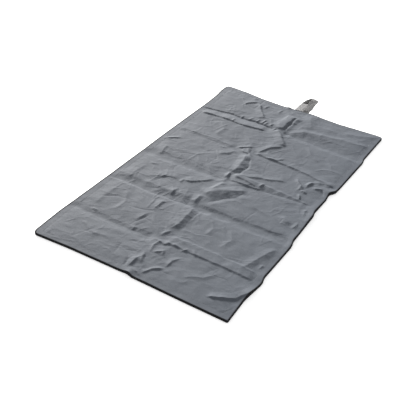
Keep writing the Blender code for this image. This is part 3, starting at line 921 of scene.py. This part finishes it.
def openAtInlet(strip):  # the tape is cut away in front of the power inlet
    shape = bmesh.new()
    shape.from_mesh(strip.data)
    gone = []
    for face in shape.faces:
        middle = face.calc_center_median()
        atEdge = middle.x < -halfWidth + inletOpening["reach"]
        atInlet = inletLow[1] < middle.y < inletHigh[1]
        if atEdge and atInlet and inletOpening["low"] < middle.z < inletOpening["high"]:
            gone.append(face)
    bmesh.ops.delete(shape, geom=gone, context="FACES")
    shape.to_mesh(strip.data)
    shape.free()


def joinPieces(pieces, name):
    deselectAll()
    for piece in pieces:
        piece.select_set(True)
    bpy.context.view_layer.objects.active = pieces[0]
    if len(pieces) > 1:
        bpy.ops.object.join()
    joined = bpy.context.object
    joined.name = joined.data.name = name
    return joined


def makeTape(finish):
    for number, (start, end) in enumerate(segments, 1):
        left, right = sideRoute(-1, start, end), sideRoute(1, start, end)
        ends = []
        if number == 1:
            routes = [left[::-1] + endRoute(0)[1:] + right[1:]]
            ends = ["end_binding_near"]
        elif number == panelCount - 1:
            routes = [right + endRoute(matLength)[::-1][1:] + left[::-1][1:]]
            ends = ["end_binding_far"]
        else:
            routes = [left[::-1], right]
        strip = joinPieces([tapeStrip(route) for route in routes], f"edge_tape_{number}")
        if ends == ["end_binding_far"]:
            openAtInlet(strip)
        finish.putOn(strip)
        bendAcrossFold(strip, number)
        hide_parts(*nodesOf("edge_binding_left", number), *nodesOf("edge_binding_right", number), *ends)


stitching = dict(
    inset=33.0, long=3.2, pitch=4.6, points=4,
    thread=0.00032, stand=0.00035, sink=0.0003, colour=(0.15, 0.16, 0.17, 1),
)


def threadRuns(name, runs, thickness):  # each run of points becomes one length of thread
    deselectAll()
    bpy.ops.curve.primitive_nurbs_path_add()
    line = bpy.context.object
    line.name = name
    line.data.splines.clear()
    line.data.bevel_depth, line.data.bevel_resolution, line.data.use_fill_caps = thickness, 1, True
    for run in runs:
        spline = line.data.splines.new("POLY")
        spline.points.add(len(run) - 1)
        spline.points.foreach_set("co", np.append(run, np.ones((len(run), 1)), axis=1).ravel())
    bpy.ops.object.convert(target="MESH")
    thread = bpy.context.object
    thread.data.name = name
    thread.data.shade_smooth()
    return thread


def makeHemStitching(finish):
    inset = stitching["inset"]
    low, highU, highV = inset, matWidth - inset, matLength - inset
    outline = [(low, low), (highU, low), (highU, highV), (low, highV), (low, low)]
    runs = {number: [] for number in range(1, panelCount)}
    for a, b in zip(outline, outline[1:]):
        a, b = np.array(a), np.array(b)
        count = int(np.hypot(*(b - a)) // stitching["pitch"])
        for index in range(count):
            start = a + (b - a) * index / count
            stop = start + (b - a) / np.hypot(*(b - a)) * stitching["long"]
            places = np.linspace(start, stop, stitching["points"])
            run = surfaceAt(places[:, 0], places[:, 1])
            run[:, 2] += [-stitching["sink"], stitching["stand"], stitching["stand"], -stitching["sink"]]
            number = next(k for k, (_, end) in enumerate(segments, 1) if start[1] <= end)
            runs[number].append(run)
    for number, segmentRuns in runs.items():
        thread = threadRuns(f"hem_stitching_{number}", segmentRuns, stitching["thread"])
        finish.putOn(thread)
        bendAcrossFold(thread, number)


# The hanging loop: across, past the far edge, height and lean, at places along the strap
loop = dict(
    route=[
        (-0.022, -0.018, 0.0056, 0), (-0.022, 0.002, 0.0056, 0), (-0.023, 0.034, 0.0062, -2),
        (-0.020, 0.076, 0.0115, -6), (-0.012, 0.112, 0.0168, -8), (-0.002, 0.131, 0.0215, -4),
        (0.0125, 0.138, 0.0285, 3), (0.026, 0.134, 0.0340, 9), (0.029, 0.112, 0.0340, 9),
        (0.028, 0.080, 0.0285, 7), (0.0250, 0.040, 0.0175, 4), (0.023, 0.002, 0.0078, 0),
        (0.023, -0.018, 0.0076, 0),
    ],
    width=0.042, thickness=0.0016, steps=8, columns=13, cup=0.0012, cupTurns=60,
    bendStart=0.834, bendEnd=0.846,
    patch=(0.28, 0.42), patchWidth=0.041, patchThickness=0.0012,
)
# The zigzag bar tack across the strap's ends: which places of the strap from its last, and its stitches
barTack = dict(rows=(10, 11), stitches=40, half=0.016, zigzag=0.0012, stand=0.0003, thread=0.00035)
barTack["colour"] = (0.06, 0.06, 0.062, 1)


def loopLine():
    rows = [np.array(r, float) for r in loop["route"]]
    rows = [2 * rows[0] - rows[1], *rows, 2 * rows[-1] - rows[-2]]
    line = []
    for a, b, c, d in zip(rows, rows[1:], rows[2:], rows[3:]):
        for t in np.arange(loop["steps"]) / loop["steps"]:
            square, cube = 2 * a - 5 * b + 4 * c - d, 3 * b - a - 3 * c + d
            line.append(((2 * b) + (c - a) * t + square * t**2 + cube * t**3) / 2)
    return np.array([*line, rows[-2]])


def loopFrames():  # for each place along the strap: its middle, the way across it and the way into the loop
    line = loopLine()
    ahead = np.gradient(line[:, :3], axis=0)
    lean = np.radians(line[:, 3])
    across = np.stack([np.cos(lean), lean * 0, -np.sin(lean)], axis=1)
    inward = np.cross(across, ahead)
    inward /= np.linalg.norm(inward, axis=1, keepdims=True)
    middle = line[:, :3] + [0, farEdge, 0]
    return middle, across, inward


def bandMesh(name, first, last, width, thickness, lift):  # a closed flat band along the loop's own line
    middle, across, inward = loopFrames()
    walked = np.concatenate([[0], np.cumsum(np.linalg.norm(np.diff(middle, axis=0), axis=1))])
    half, thin = width / 2, thickness / 2
    flatSide = np.linspace(-half + thin * 0.6, half - thin * 0.6, loop["columns"])
    ring = [(a, thin) for a in flatSide] + [(half, 0)] + [(a, -thin) for a in flatSide[::-1]] + [(-half, 0)]
    ring.append(ring[0])
    rows, flat = [], []
    for index in range(first, last + 1):
        cup = loop["cup"] * np.sin(walked[index] * loop["cupTurns"])
        rows.append([
            middle[index] + across[index] * a + inward[index] * (lift + t + cup * (1 - (2 * a / width) ** 2))
            for a, t in ring
        ])
        flat.append([(a, walked[index]) for a, t in ring])
    band, _, _ = sheetMesh(name, np.array(rows), np.array(flat))
    bpy.context.view_layer.objects.active = band
    bpy.ops.object.mode_set(mode="EDIT")
    bpy.ops.mesh.select_all(action="SELECT")
    bpy.ops.mesh.remove_doubles(threshold=1e-6)
    bpy.ops.mesh.select_mode(type="EDGE")
    bpy.ops.mesh.select_all(action="DESELECT")
    bpy.ops.mesh.select_non_manifold(extend=False)
    bpy.ops.mesh.edge_face_add()
    bpy.ops.mesh.select_all(action="SELECT")
    bpy.ops.mesh.normals_make_consistent(inside=False)
    bpy.ops.object.mode_set(mode="OBJECT")
    band.data.shade_smooth()
    return band


def bendAtLoop(piece):
    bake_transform(piece)


def makeLoop():
    middle, across, inward = loopFrames()
    last = len(middle) - 1
    strap = bandMesh("loop_webbing", 0, last, loop["width"], loop["thickness"], 0)
    makeWebbing().putOn(strap)
    bendAtLoop(strap)
    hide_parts("hanging_loop")
    start, end = (round(share * last) for share in loop["patch"])
    lift = (loop["thickness"] + loop["patchThickness"]) / 2
    patch = bandMesh("hook_patch", start, end, loop["patchWidth"], loop["patchThickness"], lift)
    makeHookTape().putOn(patch)
    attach(patch, "loop")
    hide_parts("loop_fastener_patch")
    runs, stitches = [], barTack["stitches"]
    out = -(loop["thickness"] / 2 + barTack["stand"])
    for index in (last - row for row in barTack["rows"]):
        run = []
        for step in range(stitches):
            a = -barTack["half"] + 2 * barTack["half"] * step / (stitches - 1)
            shift = barTack["zigzag"] if step % 2 else -barTack["zigzag"]
            run.append(middle[index] + across[index] * a + inward[index] * out + np.array([0, shift, 0]))
        runs.append(run)
    thread = threadRuns("loop_bar_tack", runs, barTack["thread"])
    makeThread("darkThread", barTack["colour"]).putOn(thread)
    bendAtLoop(thread)


makeCamera()
makeStudio()
finishInnerNodes()
print("camera, lights and floor are in place, and the inner parts have their finishes")

middles = segmentEnds[1:-1]
coverU = gridLine(matWidth, sheetGrid["pitch"])
coverV = gridLine(matLength, sheetGrid["pitch"], folds, middles)
liningU = gridLine(matWidth, sheetGrid["liningPitch"])
liningV = gridLine(matLength, sheetGrid["liningPitch"], folds, middles)
coverPoints = makeSheets("outer_cover", coverU, coverV, coverHeight, 1, makeCoverCloth())
print("the outer cover is creased and laid:", len(coverU), "by", len(coverV))
makeSheets("lining", liningU, liningV, liningHeight, -1, makeDarkCloth("lining"))
makePadding(makeWadding())
print("the lining and the padding are in")
makeTape(makeDarkCloth("tape"))
makeHemStitching(makeThread("greyThread", stitching["colour"]))
print("the edge is bound and stitched")
makeLoop()
print("the hanging loop is on")
